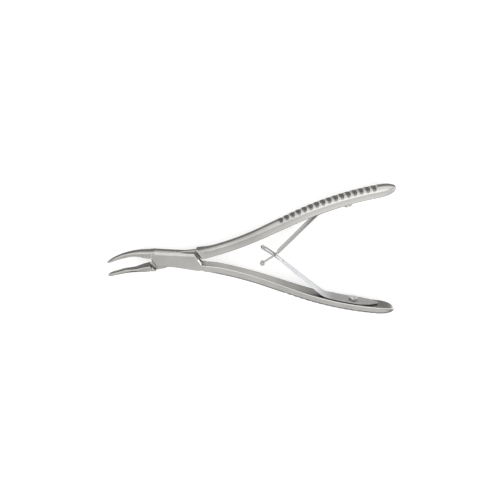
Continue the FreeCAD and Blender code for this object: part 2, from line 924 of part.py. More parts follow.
def tongue_leaf(label, handle):
    """Leaf that narrows to a tongue with a ball on its end."""
    body = new_body(label)
    leaf = Leaf(handle)
    shoulder = size("spring_to_shoulder") - size("spring_bend_radius") * sine(leaf.bend)
    straight = shoulder + size("tongue_straight")
    end = leaf_strip(
        body, leaf, straight, size("tongue_turn"), size("tongue_radius"), size("spring_width")
    )
    sides = face_sketch(body, "TongueSketch", leaf)
    root_half = size("spring_width") / 2
    wide_half = size("shoulder_width") / 2
    thin_half = size("tongue_width") / 2
    far = -shoulder - 14
    for sign in (1, -1):
        chain(
            sides,
            [
                (0, root_half * sign),
                (-shoulder, wide_half * sign),
                (-shoulder, thin_half * sign),
                (far, thin_half * sign),
                (far, root_half * 2 * sign),
                (0, root_half * 2 * sign),
            ],
        )
    pocket(body, "TongueSides", sides, 12)
    ball = body.newObject("PartDesign::AdditiveSphere", "Ball")
    ball.setExpression("Radius", size("ball_radius").text)
    place = handle.placed(end)
    ball.Placement = FreeCAD.Placement(
        FreeCAD.Vector(place[0].value, place[1].value, 0), FreeCAD.Rotation()
    )
    ball.setExpression(".Placement.Base.x", place[0].text)
    ball.setExpression(".Placement.Base.y", place[1].text)
    DOC.recompute()
    return body


def slotted_leaf(label, handle):
    """Leaf with a long slot, closed at its end, that the tongue passes through."""
    body = new_body(label)
    leaf = Leaf(handle)
    to_bend = size("spring_bend_radius") * sine(leaf.bend)
    straight = size("spring_to_shoulder") - to_bend + size("tongue_straight")
    turn = size("slotted_turn")
    leaf_strip(body, leaf, straight, turn, size("slotted_radius"), size("spring_width"))
    face = face_sketch(body, "SlotSketch", leaf)
    root_half = size("spring_width") / 2
    wide_half = size("slotted_width") / 2
    slot_half = size("slot_width") / 2
    first = to_bend - size("slot_start")
    last = to_bend - size("slot_end")
    far = last - 8
    for sign in (1, -1):
        chain(
            face,
            [
                (0, root_half * sign),
                (first, wide_half * sign),
                (far, wide_half * sign),
                (far, root_half * 2 * sign),
                (0, root_half * 2 * sign),
            ],
        )
    chain(
        face,
        [(first, -slot_half), (first, slot_half), (last, slot_half), (last, -slot_half)],
        {0: (None, True), 2: (None, True)},
    )
    pocket(body, "LeafSlot", face, 12)
    return body


def spring_screw(label, handle):
    """Cheese-head screw through the spring's foot into the handle."""
    body = new_body(label)
    slope = size("screw_slope")
    under_head = strip_offset(handle) - size("spring_thickness") / 2 - size("head_play")
    seat = handle.placed(handle.on_grip(slope, under_head))
    turn = slope * handle.side
    into_handle = handle.side < 0

    def across(name):
        return attached_sketch(body, name, "XZ_Plane", (seat[0], 0, -seat[1]), (0, 1, 0), turn)

    shank = across("ShankSketch")
    circle_at(shank, (0, 0), size("screw_radius"))
    length = size("screw_depth") + size("spring_thickness")
    pad(body, "Shank", shank, length, both_sides=False, reverse=not into_handle)
    head = across("HeadSketch")
    circle_at(head, (0, 0), size("head_radius"))
    cap = pad(body, "Head", head, size("head_height"), both_sides=False, reverse=into_handle)
    DOC.recompute()
    rims = [
        (abs(edge.BoundBox.Center.y), "Edge%d" % number)
        for number, edge in enumerate(cap.Shape.Edges, start=1)
        if edge.BoundBox.DiagonalLength > 3 * size("head_radius").value * 0.9
        and len(edge.Vertexes) == 1
    ]
    outer_rim = min(rims)[1]
    edge = body.newObject("PartDesign::Chamfer", "HeadEdge")
    edge.Base = (cap, [outer_rim])
    edge.setExpression("Size", size("head_bevel").text)
    top = handle.placed(handle.on_grip(slope, under_head - size("head_height")))
    slot = attached_sketch(
        body, "DriverSlotSketch", "XZ_Plane", (top[0], 0, -top[1]), (0, 1, 0), turn
    )
    across_slot = size("driver_slot_width") / 2
    along_slot = size("head_radius") * 1.2
    chain(
        slot,
        [
            (-across_slot, -along_slot),
            (across_slot, -along_slot),
            (across_slot, along_slot),
            (-across_slot, along_slot),
        ],
    )
    deep = size("driver_slot_depth")
    pocket(body, "DriverSlot", slot, deep, both_sides=False, reverse=into_handle)
    return body


def check_and_export(bodies):
    DOC.recompute()
    for item in DOC.Objects:
        if "Invalid" in item.State or "Error" in item.State:
            raise RuntimeError("%s is %s" % (item.Name, item.State))
    for body in bodies:
        if body.Shape.isNull() or not body.Shape.isValid():
            raise RuntimeError("%s has no valid shape" % body.Label)
        if len(body.Shape.Solids) != 1:
            raise RuntimeError("%s has %d solids" % (body.Label, len(body.Shape.Solids)))
    os.makedirs("parts", exist_ok=True)
    for body in bodies:
        body.Shape.exportStep("parts/%s.step" % body.Label)
        print(body.Label, round(body.Shape.Volume, 2))


def main():
    fill_sheet()
    upper = Handle("male", 1)
    lower = Handle("female", -1)
    bodies = [
        female_half(lower),
        male_half(upper),
        joint_pin(),
        spring_foot("lower_spring_foot", lower),
        spring_foot("upper_spring_foot", upper),
        slotted_leaf("lower_spring_leaf", lower),
        tongue_leaf("upper_spring_leaf", upper),
        spring_screw("lower_spring_screw", lower),
        spring_screw("upper_spring_screw", upper),
    ]
    check_and_export(bodies)


main()
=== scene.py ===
"""A bone rongeur: two crossed halves in a box lock, held open by two crossing leaf springs."""
import math

import bmesh
import bpy
from mathutils import Matrix, Vector
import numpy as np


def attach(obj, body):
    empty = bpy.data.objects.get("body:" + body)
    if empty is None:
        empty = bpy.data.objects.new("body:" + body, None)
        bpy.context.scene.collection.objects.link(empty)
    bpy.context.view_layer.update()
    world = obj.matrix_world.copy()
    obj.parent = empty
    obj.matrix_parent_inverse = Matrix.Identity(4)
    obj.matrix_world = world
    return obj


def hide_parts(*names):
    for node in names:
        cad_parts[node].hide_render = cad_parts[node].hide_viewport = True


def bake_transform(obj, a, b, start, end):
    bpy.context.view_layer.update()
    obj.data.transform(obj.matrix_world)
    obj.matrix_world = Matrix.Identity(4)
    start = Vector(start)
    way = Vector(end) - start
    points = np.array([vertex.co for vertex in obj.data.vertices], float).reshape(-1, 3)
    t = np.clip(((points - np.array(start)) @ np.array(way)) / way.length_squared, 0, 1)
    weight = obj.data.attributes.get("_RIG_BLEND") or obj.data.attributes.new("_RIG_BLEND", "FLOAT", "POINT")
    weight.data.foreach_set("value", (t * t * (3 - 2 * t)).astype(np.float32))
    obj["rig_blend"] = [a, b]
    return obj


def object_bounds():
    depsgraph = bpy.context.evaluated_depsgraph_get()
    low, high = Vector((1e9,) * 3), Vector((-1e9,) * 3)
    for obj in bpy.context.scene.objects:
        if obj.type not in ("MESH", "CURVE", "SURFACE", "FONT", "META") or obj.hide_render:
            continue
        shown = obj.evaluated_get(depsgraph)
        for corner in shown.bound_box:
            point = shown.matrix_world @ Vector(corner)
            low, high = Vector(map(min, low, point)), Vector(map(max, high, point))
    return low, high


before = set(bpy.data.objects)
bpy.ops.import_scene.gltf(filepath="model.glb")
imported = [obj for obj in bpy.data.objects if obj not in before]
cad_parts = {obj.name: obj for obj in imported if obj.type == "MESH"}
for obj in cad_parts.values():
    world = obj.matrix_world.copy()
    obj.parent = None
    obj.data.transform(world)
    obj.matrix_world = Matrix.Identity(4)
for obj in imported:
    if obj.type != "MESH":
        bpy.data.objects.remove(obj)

CAD_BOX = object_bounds()

MM = 0.001
# The height of the object's middle plane, in mm.
MIDDLE = 2.9

# The photograph's view. The object lies on its back and is seen from its front, a little from above.
IN_PLANE_TURN = math.radians(3.75)
TILT = math.radians(26)
PIXELS = 500
PIXELS_PER_METRE = 2107
JOINT_PLACE = Vector((0, 0, MIDDLE * MM))
JOINT_PIXEL = (174, 258.5)
LENS = 250
SENSOR = 36
CLIP_NEAR = 0.05
CLIP_FAR = 50


def add_camera():
    """The camera looks at the point of the object that lies in the middle of the photograph."""
    right = Vector((math.cos(IN_PLANE_TURN), -math.sin(IN_PLANE_TURN), 0))
    back = Vector(
        (
            math.sin(IN_PLANE_TURN) * math.sin(TILT),
            math.cos(IN_PLANE_TURN) * math.sin(TILT),
            math.cos(TILT),
        )
    )
    up = back.cross(right)
    to_right = (PIXELS / 2 - JOINT_PIXEL[0]) / PIXELS_PER_METRE
    to_top = (JOINT_PIXEL[1] - PIXELS / 2) / PIXELS_PER_METRE
    target = JOINT_PLACE + right * to_right + up * to_top
    width = PIXELS / PIXELS_PER_METRE
    data = bpy.data.cameras.new("camera")
    data.lens = LENS
    data.sensor_width = SENSOR
    data.clip_start = CLIP_NEAR
    data.clip_end = CLIP_FAR
    camera = bpy.data.objects.new("camera", data)
    bpy.context.scene.collection.objects.link(camera)
    place = target + back * (width * LENS / SENSOR)
    rows = [[right[i], up[i], back[i], place[i]] for i in range(3)]
    camera.matrix_world = Matrix((*rows, (0, 0, 0, 1)))
    bpy.context.scene.camera = camera


# Name, place, the point it is aimed at, width, height and radiance.
LAMPS = (
    ("key", (0.2, -0.5, 1.4), (0.04, 0, 0), 1.0, 0.8, 0.2),
    ("front_strip", (-0.1, 1.0, 0.36), (0.03, 0, 0), 1.4, 0.7, 1.3),
    ("back_strip", (0.1, -1.0, 0.68), (0.03, 0, 0), 1.4, 0.3, 2.2),
    ("end_strip", (1.1, 0.15, 0.35), (0.03, 0, 0), 0.6, 0.3, 2.0),
)


def add_lamp(name, place, aim, width, height, radiance):
    """A soft rectangular lamp, aimed at a point. A radiance of 1 is as bright as white paper."""
    data = bpy.data.lights.new(name, "AREA")
    data.shape = "RECTANGLE"
    data.size = width
    data.size_y = height
    data.energy = radiance * math.pi * width * height
    lamp = bpy.data.objects.new(name, data)
    bpy.context.scene.collection.objects.link(lamp)
    lamp.location = place
    lamp.rotation_euler = (Vector(aim) - Vector(place)).to_track_quat("-Z", "Y").to_euler()


class Nodes:
    """A short way to write a material's nodes."""

    def __init__(self, tree):
        self.tree = tree
        tree.nodes.clear()

    def add(self, kind, settings=(), **inputs):
        node = self.tree.nodes.new(kind)
        for name, value in dict(settings).items():
            setattr(node, name, value)
        for name, value in inputs.items():
            self.plug(node.inputs[name.replace("_", " ")], value)
        return node

    def plug(self, socket, value):
        """Links a socket's output, or sets a constant."""
        if isinstance(value, bpy.types.NodeSocket):
            self.tree.links.new(value, socket)
        else:
            socket.default_value = value

    def maths(self, operation, a, b, clamp=False):
        node = self.add("ShaderNodeMath", {"operation": operation, "use_clamp": clamp})
        for socket, value in zip(node.inputs, (a, b)):
            self.plug(socket, value)
        return node.outputs[0]

    def times(self, a, b):
        return self.maths("MULTIPLY", a, b)

    def spread(self, value, low, high, to_low=0.0, to_high=1.0):
        """Maps low to to_low and high to to_high, and clamps the rest."""
        node = self.add(
            "ShaderNodeMapRange",
            Value=value,
            From_Min=low,
            From_Max=high,
            To_Min=to_low,
            To_Max=to_high,
        )
        return node.outputs["Result"]

    def mix_values(self, share, a, b):
        node = self.add("ShaderNodeMix")
        for index, value in zip((0, 2, 3), (share, a, b)):
            self.plug(node.inputs[index], value)
        return node.outputs[0]

    def mix_colour(self, share, a, b):
        node = self.add("ShaderNodeMix", {"data_type": "RGBA"})
        for index, value in zip((0, 6, 7), (share, a, b)):
            self.plug(node.inputs[index], value)
        return node.outputs[2]

    def split(self, vector, axis):
        node = self.add("ShaderNodeSeparateXYZ")
        self.plug(node.inputs[0], vector)
        return node.outputs[axis]

    def noise(self, vector, scale, detail, roughness):
        return self.add(
            "ShaderNodeTexNoise", Vector=vector, Scale=scale, Detail=detail, Roughness=roughness
        ).outputs["Fac"]

    def vector_maths(self, operation, a, b=None):
        node = self.add("ShaderNodeVectorMath", {"operation": operation})
        self.plug(node.inputs[0], a)
        if b is not None:
            self.plug(node.inputs[1], b)
        return node.outputs["Vector" if operation == "MULTIPLY" else "Value"]


# The two sides are told apart over this distance from the middle line.
MIDDLE_BAND = 0.5 * MM


class SteelNodes(Nodes):
    """The nodes of a steel, with the places and directions that its masks are made from."""

    def __init__(self, tree):
        super().__init__(tree)
        self.place = self.add("ShaderNodeTexCoord").outputs["Object"]
        self.normal = self.add("ShaderNodeNewGeometry").outputs["Normal"]
        # -1 on the side of the lower handle and 1 on the side of the upper one.
        self.y_side = self.spread(self.split(self.place, "Y"), -MIDDLE_BAND, MIDDLE_BAND, -1.0, 1.0)
        self.upper_side = self.spread(self.y_side, -1.0, 1.0)
        self.outward = self.outwards(self.normal)

    def outwards(self, normal):
        """1 where a normal points away from the middle line, and -1 where it points to it."""
        return self.times(self.split(normal, "Y"), self.y_side)

    def rounded(self, radius, samples):
        """The normal with every edge rounded by a radius."""
        return self.add("ShaderNodeBevel", {"samples": samples}, Radius=radius).outputs["Normal"]

    def agreement(self, rounded):
        """The cosine between a rounded normal and the face's own."""
        return self.vector_maths("DOT_PRODUCT", rounded, self.normal)


# Edges and the lower side's inner corners are painted this light colour: partly wear, partly a painted
# highlight.
EDGE_WEAR_AND_HIGHLIGHT_COLOUR = (0.80, 0.79, 0.77, 1)
# Painted shade for the outer sides and the upper side's inner corners.
PAINTED_SHADE_COLOUR = (0.085, 0.082, 0.078, 1)
# Painted shade for hollows and grooves.
HOLLOW_SHADE_COLOUR = (0.05, 0.048, 0.045, 1)
FINE_EDGE = 0.12 * MM
WIDE_EDGE = 0.45 * MM
HOLLOW_REACH = 2.4 * MM
GRAIN_HEIGHT = 0.05 * MM
GRAIN_STRENGTH = 0.1
BLASTED_SHARE = 0.5
BRUSHED_ALONG_X = (300.0, 3000.0, 3000.0)
# Scale, detail and roughness of each noise.
BRUSHING = (1.0, 6.0, 0.65)
BLASTING = (3800.0, 3.0, 0.6)
CLOUDS = (70.0, 3.0, 0.5)
# Each mask is a low and a high value, and what they turn into where that isn't 0 and 1.
CLOUD_MASK = (0.35, 0.65)
STREAK_MASK = (0.3, 0.7, 0.0, 0.35)
INNER_MASK = (-0.8, -0.95)
EDGE_MASK = (0.995, 0.9)
RIM_HIGHLIGHT_MASK = (0.99, 0.85, 0.0, 0.7)
OFF_PIN_MASK = (3.0 * MM, 3.6 * MM)
CORNER_MASKS = ((-0.1, -0.35), (-0.9, -0.7))
SIDE_SHADE_MASK = (0.7, 0.85, 0.0, 0.95)
SHOULDER_SHADE_MASK = (0.04, 0.5, 0.0, 0.9)
CREST_SHADE_MASK = (0.88, 0.98, 1.0, 0.7)
HOLLOW_SHADE_MASK = (0.95, 0.76, 0.0, 0.9)
ROUGH_MASK = (0.25, 0.75)
# The painted shade on the sides fades over this band around its height, in mm.
SHADE_FADE = (0.6, -0.5)
EDGE_LIGHTNESS = 0.5
EDGE_POLISH = 0.12
ROUGH_SPREAD = (-0.06, 0.07)


def steel(name, light, dark, roughness, painted_shade_under=None, corners=0.8, zones=()):
    """Satin steel with its brushing along X, and edges smoother and lighter: partly wear, partly a
    painted highlight. Given a height in mm for its shade, it also gets painted highlights and
    painted shade on its sides, corners and hollows. A zone is (first x, last x, which faces,
    colour): the colour comes in between the two places."""
    material = bpy.data.materials.new(name)
    material.use_nodes = True
    nodes = SteelNodes(material.node_tree)
    stretched = nodes.add("ShaderNodeMapping", Vector=nodes.place, Scale=BRUSHED_ALONG_X)
    brushing = nodes.noise(stretched.outputs["Vector"], *BRUSHING)
    blasting = nodes.noise(nodes.place, *BLASTING)
    clouds = nodes.noise(nodes.place, *CLOUDS)
    fine = nodes.rounded(FINE_EDGE, 4)
    edge = nodes.spread(nodes.agreement(fine), *EDGE_MASK)

    colour = nodes.mix_colour(nodes.spread(clouds, *CLOUD_MASK), dark, light)
    colour = nodes.mix_colour(nodes.spread(brushing, *STREAK_MASK), colour, dark)
    for first, last, faces, zone_colour in zones:
        share = nodes.spread(nodes.split(nodes.place, "X"), first * MM, last * MM)
        if faces == "inner":
            share = nodes.times(share, nodes.spread(nodes.outward, *INNER_MASK))
        if faces == "upper":
            share = nodes.times(share, nodes.upper_side)
        colour = nodes.mix_colour(share, colour, zone_colour)
    # The fine edges are painted lighter: partly wear, partly a painted highlight.
    colour = nodes.mix_colour(nodes.times(edge, EDGE_LIGHTNESS), colour, EDGE_WEAR_AND_HIGHLIGHT_COLOUR)
    if painted_shade_under:
        colour = paint_light_and_shade(nodes, colour, painted_shade_under, corners)

    rough = nodes.spread(brushing, *ROUGH_MASK, *(roughness + change for change in ROUGH_SPREAD))
    rough = nodes.maths("SUBTRACT", rough, nodes.times(edge, EDGE_POLISH), clamp=True)
    height = nodes.maths("ADD", nodes.times(blasting, BLASTED_SHARE), brushing)
    bump = nodes.add(
        "ShaderNodeBump",
        Strength=GRAIN_STRENGTH,
        Distance=GRAIN_HEIGHT,
        Height=height,
        Normal=fine,
    )
    shader = nodes.add(
        "ShaderNodeBsdfPrincipled",
        Base_Color=colour,
        Metallic=1.0,
        Roughness=rough,
        Normal=bump.outputs["Normal"],
    )
    nodes.add("ShaderNodeOutputMaterial", Surface=shader.outputs[0])
    return material


def paint_light_and_shade(nodes, colour, painted_shade_under, corners):
    """Paints light and shade into a colour: highlights on the front edges and the lower side's inner
    corners, and shade on the upper side's inner corners, on the outer sides and in the hollows.
    """
    wide = nodes.rounded(WIDE_EDGE, 6)
    from_pin = nodes.vector_maths("LENGTH", nodes.vector_maths("MULTIPLY", nodes.place, (1, 1, 0)))
    off_pin = nodes.spread(from_pin, *OFF_PIN_MASK)
    # Painted highlight along the front edges, kept away from the pin.
    rim = nodes.spread(nodes.agreement(wide), *RIM_HIGHLIGHT_MASK)
    colour = nodes.mix_colour(nodes.times(rim, off_pin), colour, EDGE_WEAR_AND_HIGHLIGHT_COLOUR)

    # Painted light on the inner corners: a highlight on the lower side, shade on the upper side; the corners
    # argument sets how much.
    corner = nodes.times(*(nodes.spread(nodes.outward, *mask) for mask in CORNER_MASKS))
    corner_highlight_and_shade = nodes.mix_colour(nodes.upper_side, EDGE_WEAR_AND_HIGHLIGHT_COLOUR, PAINTED_SHADE_COLOUR)
    colour = nodes.mix_colour(nodes.times(corner, corners), colour, corner_highlight_and_shade)

    # Painted shade: the upper side is dark below a height, and the lower side up to its front edge.
    fade = [(painted_shade_under + change) * MM for change in SHADE_FADE]
    low = nodes.spread(nodes.split(nodes.place, "Z"), *fade)
    upper = nodes.times(nodes.spread(nodes.outward, *SIDE_SHADE_MASK), low)
    shoulder = nodes.spread(nodes.outwards(wide), *SHOULDER_SHADE_MASK)
    crest = nodes.spread(nodes.outward, *CREST_SHADE_MASK)
    lower = nodes.times(nodes.times(shoulder, crest), off_pin)
    colour = nodes.mix_colour(nodes.mix_values(nodes.upper_side, lower, upper), colour, PAINTED_SHADE_COLOUR)

    # Painted shade in hollows and grooves, where the ambient occlusion finds little open space.
    open_sky = nodes.add(
        "ShaderNodeAmbientOcclusion", {"samples": 8, "only_local": True}, Distance=HOLLOW_REACH
    ).outputs["AO"]
    return nodes.mix_colour(nodes.spread(open_sky, *HOLLOW_SHADE_MASK), colour, HOLLOW_SHADE_COLOUR)


def dress(node, material):
    """Gives a CAD node one material."""
    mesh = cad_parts[node].data
    if not mesh.materials:
        mesh.materials.append(material)
    for i in range(len(mesh.materials)):
        mesh.materials[i] = material


FLOOR_HALF = 6.0
FLOOR_COLOUR = (0.62, 0.62, 0.615, 1)
FLOOR_GLOW = 0.56
HORIZON_STRENGTH = 0.3
DOME_HEIGHT = 0.55


def add_floor():
    """A pale floor that is white to the camera and keeps the object's shadow."""
    low = CAD_BOX[0][2]
    mesh = bpy.data.meshes.new("floor")
    square = ((-1, -1), (1, -1), (1, 1), (-1, 1))
    corners = [(x * FLOOR_HALF, y * FLOOR_HALF, low) for x, y in square]
    mesh.from_pydata(corners, [], [(0, 1, 2, 3)])
    floor = bpy.data.objects.new("floor", mesh)
    bpy.context.scene.collection.objects.link(floor)
    material = bpy.data.materials.new("pale_floor")
    material.use_nodes = True
    nodes = Nodes(material.node_tree)
    path = nodes.add("ShaderNodeLightPath").outputs
    seen = nodes.maths("ADD", path["Is Camera Ray"], path["Is Glossy Ray"])
    seen = nodes.maths("ADD", seen, path["Is Transmission Ray"], clamp=True)
    matt = nodes.add("ShaderNodeBsdfDiffuse", Color=FLOOR_COLOUR)
    glow = nodes.add("ShaderNodeEmission", Color=(1, 1, 1, 1), Strength=nodes.times(seen, FLOOR_GLOW))
    both = nodes.add("ShaderNodeAddShader")
    nodes.plug(both.inputs[0], matt.outputs[0])
    nodes.plug(both.inputs[1], glow.outputs[0])
    nodes.add("ShaderNodeOutputMaterial", Surface=both.outputs[0])
    mesh.materials.append(material)


def add_world():
    """A plain white dome that dims towards the horizon."""
    world = bpy.data.worlds.new("studio")
    bpy.context.scene.world = world
    world.use_nodes = True
    nodes = Nodes(world.node_tree)
    way = nodes.add("ShaderNodeTexCoord").outputs["Generated"]
    strength = nodes.spread(nodes.split(way, "Z"), 0.0, DOME_HEIGHT, HORIZON_STRENGTH, 1.0)
    glow = nodes.add("ShaderNodeBackground", Color=(1, 1, 1, 1), Strength=strength)
    nodes.add("ShaderNodeOutputWorld", Surface=glow.outputs[0])


# From here to add_springs, lengths are in mm and angles in degrees. A side is 1 for the upper handle
# and -1 for the lower one. GRIP_START is on the handles' centre lines, and a strip lies STRIP_OFFSET
# inside of them.
HANDLE_SPLAY = 24.0
GRIP_RADIUS = 155.0
GRIP_START = {1: (56.977, 17.601), -1: (56.880, 21.162)}
STRIP_OFFSET = 2.65
STRIP_THICKNESS = 0.7
ROOT_SLOPE = 19.0
TAIL_SLOPE = 9.3
ROOT_BEND = 7.0
# The share of the root bend that lies on the foot.
BEND_ON_FOOT = 0.3
FOOT_STEPS = 26
PATH_STEP = 0.25
STRIP_BEVEL = 0.14
BEVEL_ANGLE = 40
# Angles over which an edge stays sharp.
FLAT_ANGLE = 25
STRIP_ANGLE = 35
SKIN_ANGLE = 42
# Points nearer than this are one, in metres.
STRIP_MERGE = 1e-7
SOLID_MERGE = 1e-6


def sine(degrees):
    return math.sin(math.radians(degrees))


def cosine(degrees):
    return math.cos(math.radians(degrees))


def on_strip(side, slope):
    """The strip's middle where it lies along the inner face of a grip, in mm."""
    x, y = GRIP_START[side]
    x += (sine(HANDLE_SPLAY) - sine(slope)) * GRIP_RADIUS + sine(slope) * STRIP_OFFSET
    y += (cosine(slope) - cosine(HANDLE_SPLAY)) * GRIP_RADIUS - cosine(slope) * STRIP_OFFSET
    return x, y


def strip_path(side, leaf_slope, leaf_length, end_slope, end_radius, end_length):
    """(distance from the flexure, x, y, slope) along a spring's middle line, from the foot's tail to
    the leaf's end: the foot follows the grip, then come the root bend, the leaf and its end bend."""
    back = ROOT_BEND * math.tan(math.radians((leaf_slope - ROOT_SLOPE) / 2)) * BEND_ON_FOOT
    path = []
    for i in range(FOOT_STEPS + 1):
        slope = TAIL_SLOPE + (ROOT_SLOPE - TAIL_SLOPE) * i / FOOT_STEPS
        x, y = on_strip(side, slope)
        distance = -(ROOT_SLOPE - slope) * math.radians(1) * (GRIP_RADIUS - STRIP_OFFSET)
        path.append((distance, x, y, slope))
    while path[-1][0] > -back:
        path.pop()
    distance, x, y, slope = path[-1]
    while distance < leaf_length + end_length - PATH_STEP / 2:
        if slope < leaf_slope and distance < leaf_length / 2:
            slope = min(leaf_slope, slope + math.degrees(PATH_STEP / ROOT_BEND))
        elif distance > leaf_length:
            slope = max(end_slope, slope - math.degrees(PATH_STEP / end_radius))
        x -= cosine(slope) * PATH_STEP
        y -= sine(slope) * PATH_STEP
        distance += PATH_STEP
        path.append((distance, x, y, slope))
    return [(d, px, py * side, p * side) for d, px, py, p in path]


def at_stops(stops, distance):
    """A value read off straight lines between (distance, value) stops."""
    if distance <= stops[0][0]:
        return stops[0][1]
    for (d0, v0), (d1, v1) in zip(stops, stops[1:]):
        if distance <= d1:
            return v0 + (v1 - v0) * (distance - d0) / (d1 - d0)
    return stops[-1][1]


def slot_half(slot, distance):
    """Half the width of a round-ended slot (first, last, half width) at a distance."""
    if not slot:
        return 0.0
    first, last, half = slot
    into = min(distance - first, last - distance)
    if into <= 0:
        return 0.0
    if into >= half:
        return half
    return math.sqrt(max(half * half - (half - into) ** 2, 0.0))


def strip_mesh(name, path, widths, slot=None, ball=None):
    """A flat strip bent along a path, with its width given by stops, an open slot and a ball end."""
    shape = bmesh.new()
    rows = []
    for distance, x, y, slope in path:
        wide = at_stops(widths, distance) / 2
        gap = slot_half(slot, distance)
        across = (-sine(slope), cosine(slope))
        row = []
        for face in (0.5, -0.5):
            for column in (-wide, -gap, gap, wide):
                row.append(
                    shape.verts.new(
                        (
                            (x + across[0] * STRIP_THICKNESS * face) * MM,
                            (y + across[1] * STRIP_THICKNESS * face) * MM,
                            (MIDDLE + column) * MM,
                        )
                    )
                )
        rows.append((row, gap))
    for (a, gap_a), (b, gap_b) in zip(rows, rows[1:]):
        quads = [(0, 1), (2, 3), (5, 4), (7, 6), (4, 0), (3, 7)]
        if gap_a > 0 or gap_b > 0:
            quads += [(1, 5), (6, 2)]
        for i, j in quads:
            shape.faces.new((a[i], a[j], b[j], b[i]))
    for row in (rows[0][0], rows[-1][0]):
        shape.faces.new((row[0], row[1], row[5], row[4]))
        shape.faces.new((row[2], row[3], row[7], row[6]))
    bmesh.ops.remove_doubles(shape, verts=shape.verts[:], dist=STRIP_MERGE)
    bmesh.ops.dissolve_degenerate(shape, dist=STRIP_MERGE, edges=shape.edges[:])
    bmesh.ops.recalc_face_normals(shape, faces=shape.faces[:])
    mesh = bpy.data.meshes.new(name)
    shape.to_mesh(mesh)
    shape.free()
    obj = bpy.data.objects.new(name, mesh)
    bpy.context.scene.collection.objects.link(obj)
    bevel = obj.modifiers.new("edges", "BEVEL")
    bevel.width = STRIP_BEVEL * MM
    bevel.segments = 2
    bevel.limit_method = "ANGLE"
    bevel.angle_limit = math.radians(BEVEL_ANGLE)
    apply_modifiers(obj)
    if ball:
        add_ball(obj, path[-1][1:3], ball)
    smooth_by_angle(obj, STRIP_ANGLE)
    return obj


def apply_modifiers(obj):
    """Turns the object's modifiers into mesh."""
    bpy.context.view_layer.update()
    evaluated = obj.evaluated_get(bpy.context.evaluated_depsgraph_get())
    mesh = bpy.data.meshes.new_from_object(evaluated)
    obj.modifiers.clear()
    obj.data = mesh


def smooth_by_angle(obj, degrees):
    """Smooth shading with sharp edges over an angle."""
    mesh = obj.data
    mesh.shade_smooth()
    shape = bmesh.new()
    shape.from_mesh(mesh)
    limit = math.radians(degrees)
    for edge in shape.edges:
        edge.smooth = len(edge.link_faces) != 2 or edge.calc_face_angle(0) < limit
    shape.to_mesh(mesh)
    shape.free()


BARREL_COLUMNS = 24
BARREL_ROWS = 16
# The power above 2 gives the barrel its flatter waist.
BARREL_POWER = 2.6


def add_ball(obj, place, radii):
    """Joins a rounded barrel, with its radii around and upwards, onto the strip's end. Its rings are
    built one by one, so that its faces come in the same order each run."""
    x, y = place
    across, up = radii
    turns = [360 * column / BARREL_COLUMNS for column in range(BARREL_COLUMNS)]
    shape = bmesh.new()
    shape.from_mesh(obj.data)

    def corner(radius, turn, height):
        return shape.verts.new(
            ((x + cosine(turn) * radius) * MM, (y + sine(turn) * radius) * MM, (MIDDLE + height) * MM)
        )

    rings = []
    for row in range(1, BARREL_ROWS):
        height = cosine(180 * row / BARREL_ROWS)
        radius = across * math.sqrt(1 - abs(height) ** BARREL_POWER)
        rings.append([corner(radius, turn, height * up) for turn in turns])
    top = corner(0, 0, up)
    bottom = corner(0, 0, -up)
    for i in range(BARREL_COLUMNS):
        j = (i + 1) % BARREL_COLUMNS
        shape.faces.new((top, rings[0][i], rings[0][j]))
        for a, b in zip(rings, rings[1:]):
            shape.faces.new((a[i], b[i], b[j], a[j]))
        shape.faces.new((bottom, rings[-1][j], rings[-1][i]))
    shape.to_mesh(obj.data)
    shape.free()


INNER_COLUMNS = 9
CORNER_COLUMNS = 5
OUTER_COLUMNS = 14


def smooth_share(first, last, value):
    """0 before first, 1 after last and a smooth step in between."""
    share = min(max((value - first) / (last - first), 0.0), 1.0)
    return share * share * (3 - 2 * share)


def half_section(inner, outer, wide, flat, corner, crown, cup=(0.0, 0.0), ceiling=None):
    """Points (across, up) from the middle of a limb's inner face to its crest. The inner face is flat
    out to a half width, or has a cup of a half width and depth, a corner leads to the side, and the
    crown is a quarter of an ellipse. A ceiling cuts the crown off."""
    points = []
    cup_half, cup_depth = cup
    for i in range(INNER_COLUMNS):
        up = flat * i / (INNER_COLUMNS - 1)
        across = inner
        if cup_depth > 0 and up < cup_half:
            across += cup_depth * math.sqrt(1 - (up / cup_half) ** 2)
        points.append((across, up))
    for i in range(1, CORNER_COLUMNS + 1):
        turn = 90 * i / CORNER_COLUMNS
        points.append((inner + corner * (1 - cosine(turn)), flat + (wide - flat) * sine(turn)))
    for i in range(1, OUTER_COLUMNS + 1):
        turn = 90 * i / OUTER_COLUMNS
        points.append((outer - crown + crown * sine(turn), wide * cosine(turn)))
    if ceiling is not None:
        points = [(min(across, ceiling), up) for across, up in points]
    return points


